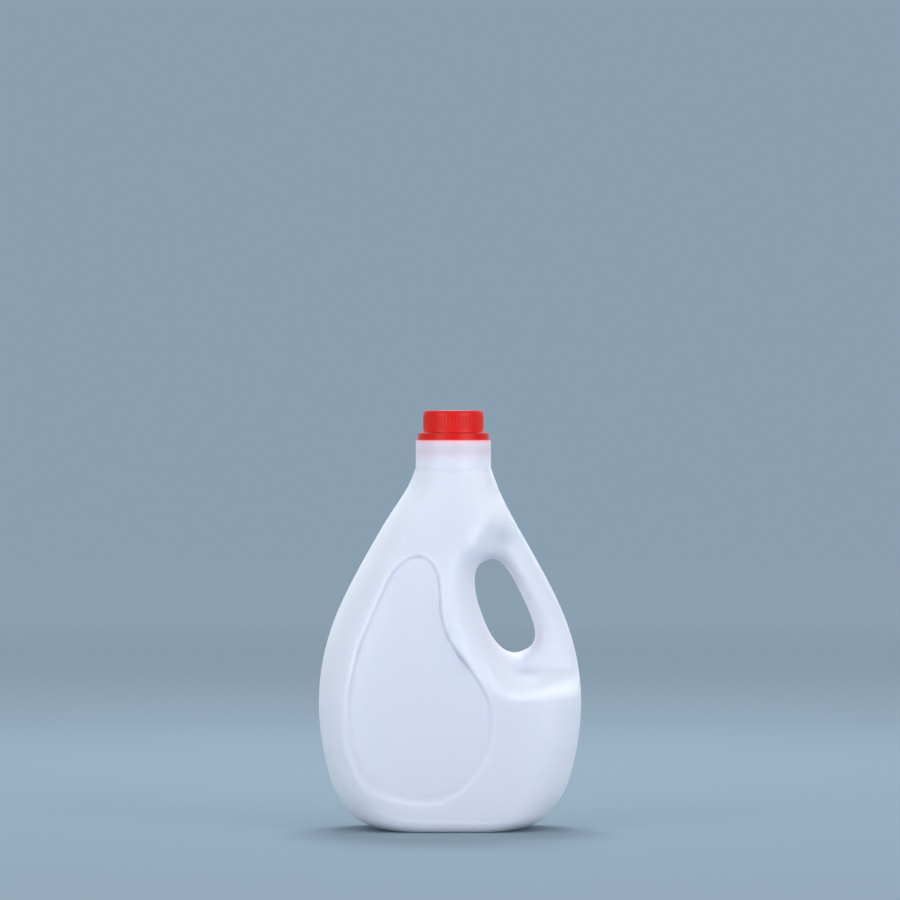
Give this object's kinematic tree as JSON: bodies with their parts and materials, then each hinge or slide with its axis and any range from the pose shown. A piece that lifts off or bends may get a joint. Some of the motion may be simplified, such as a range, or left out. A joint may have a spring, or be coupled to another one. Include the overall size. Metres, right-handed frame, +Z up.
{
  "type": "plastic jerrycan",
  "caption": "Blow-moulded white plastic jerrycan with a through handle, recessed label panels and a ribbed red screw cap.",
  "frame": {"origin": "centre of the base at table level, under the middle of the object's box", "axes": "+Z up along the bottle towards the cap, +X across the bottle towards the handle, -Y towards the front label panel"},
  "size_m": [0.188, 0.1154, 0.3],
  "materials": {
    "white_hdpe": "satin",
    "red_plastic": "satin",
    "liner_foam": "matte"
  },
  "bodies": {
    "bottle_body": {"bottle": "white_hdpe", "tamper_band": "red_plastic"},
    "lift_body": {"liner": "liner_foam"},
    "cap_body": {"cap": "red_plastic"}
  },
  "joints": [
    {"name": "cap_lift", "type": "slide", "parent": "bottle_body", "child": "lift_body", "axis": [0, 0, 1], "range_m": [0, 0.0254]},
    {"name": "cap_turn", "type": "hinge", "parent": "lift_body", "child": "cap_body", "pos_m": [0.0024, 0, 0.29], "axis": [0, 0, 1], "range_deg": [0, 2160]}
  ],
  "couplings": [
    {"joint": "cap_lift", "follows": "cap_turn", "m_per_rad": 0.00066845}
  ]
}
